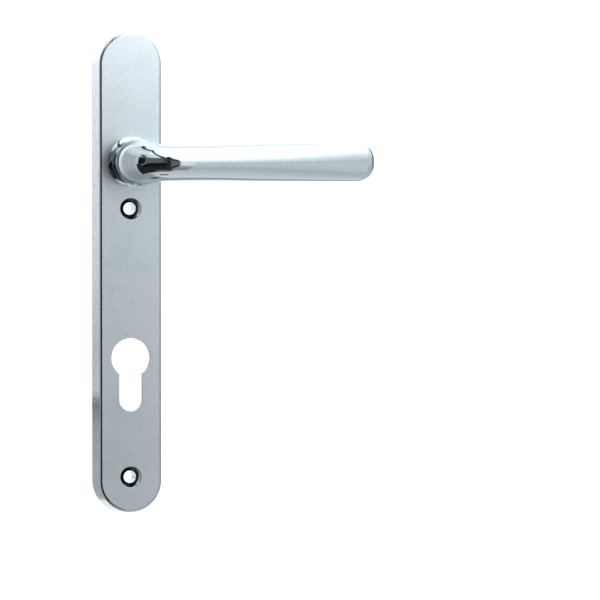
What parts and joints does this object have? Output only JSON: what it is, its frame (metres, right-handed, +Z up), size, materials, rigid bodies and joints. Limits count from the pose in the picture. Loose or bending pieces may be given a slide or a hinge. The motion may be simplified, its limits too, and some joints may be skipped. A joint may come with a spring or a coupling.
{
  "type": "door lever handle",
  "caption": "Sprung lever handle on a long round-ended backplate with two countersunk fixing holes, a profile-cylinder cut-out and a square spindle.",
  "frame": {"origin": "where the spindle's axis crosses the door's face, which is the plane of the backplate's back rim", "axes": "+Z up along the backplate, +X along the lever towards its tip, -Y out of the door towards the user, +Y into the door along the spindle"},
  "size_m": [0.1212, 0.096, 0.22],
  "materials": {
    "plate_satin_chrome": "satin chrome plated zinc casting",
    "lever_polished_chrome": "polished chrome plated zinc casting",
    "collar_polished_chrome": "polished chrome",
    "white_nylon": "moulded nylon",
    "zinc_plated_steel": "zinc plated",
    "spring_steel": "oil tempered",
    "black_steel": "black oxide",
    "ground_steel": "ground"
  },
  "bodies": {
    "plate_assembly": {"backplate": "plate_satin_chrome", "collar_ring": "collar_polished_chrome", "neck_bush": "white_nylon", "front_thrust_washer": "white_nylon", "rear_bush": "white_nylon", "spring_spool": "white_nylon", "spring_cover": "zinc_plated_steel", "cover_screw_1": "zinc_plated_steel", "cover_screw_2": "zinc_plated_steel", "cover_screw_3": "zinc_plated_steel", "cover_screw_4": "zinc_plated_steel", "anchor_pin": "ground_steel", "stop_pin": "ground_steel", "return_spring": "spring_steel"},
    "lever_assembly": {"lever": "lever_polished_chrome", "spindle": "zinc_plated_steel", "grub_screw": "black_steel", "drive_cam": "zinc_plated_steel", "retaining_washer": "zinc_plated_steel", "circlip": "spring_steel"}
  },
  "joints": [
    {"name": "lever_turn", "type": "hinge", "parent": "plate_assembly", "child": "lever_assembly", "pos_m": [0, 0, 0], "axis": [0, -1, 0], "range_deg": [-50, 50], "stiffness_Nm_per_rad": 1.6, "springref_deg": 4.87, "deforming": ["return_spring"]}
  ]
}
